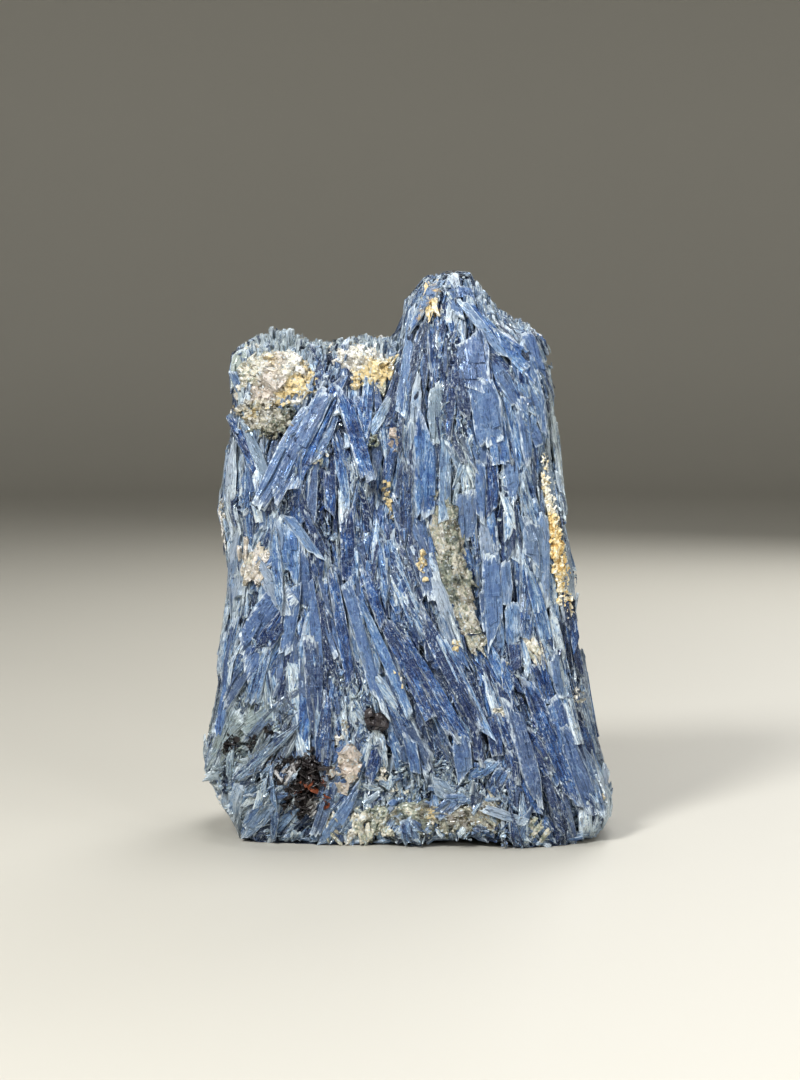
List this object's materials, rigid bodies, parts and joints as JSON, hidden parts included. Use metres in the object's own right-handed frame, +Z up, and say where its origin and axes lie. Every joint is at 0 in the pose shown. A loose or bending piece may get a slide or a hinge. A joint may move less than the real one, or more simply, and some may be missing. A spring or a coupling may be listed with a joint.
{
  "type": "kyanite blade cluster",
  "caption": "Free-standing mineral cluster of tightly packed blue kyanite blades, with quartz, mica and iron-stained lumps set in its front and a flat cut base.",
  "frame": {"origin": "on the standing surface, under the middle of the cluster's box", "axes": "+Z up along the blades, -Y out of the display front, +X to the viewer's right"},
  "size_m": [0.1314, 0.0796, 0.1788],
  "materials": {
    "kyanite": "satin",
    "quartz": "satin",
    "iron_crust": "matte",
    "mica": "satin"
  },
  "bodies": {
    "root": {"kyanite_mass": "kyanite", "quartz_pocket": "quartz", "quartz_lip": "quartz", "quartz_saddle": "quartz", "quartz_vein": "quartz", "quartz_foot": "quartz", "iron_seam": "iron_crust", "mica_pocket": "mica"}
  },
  "joints": []
}
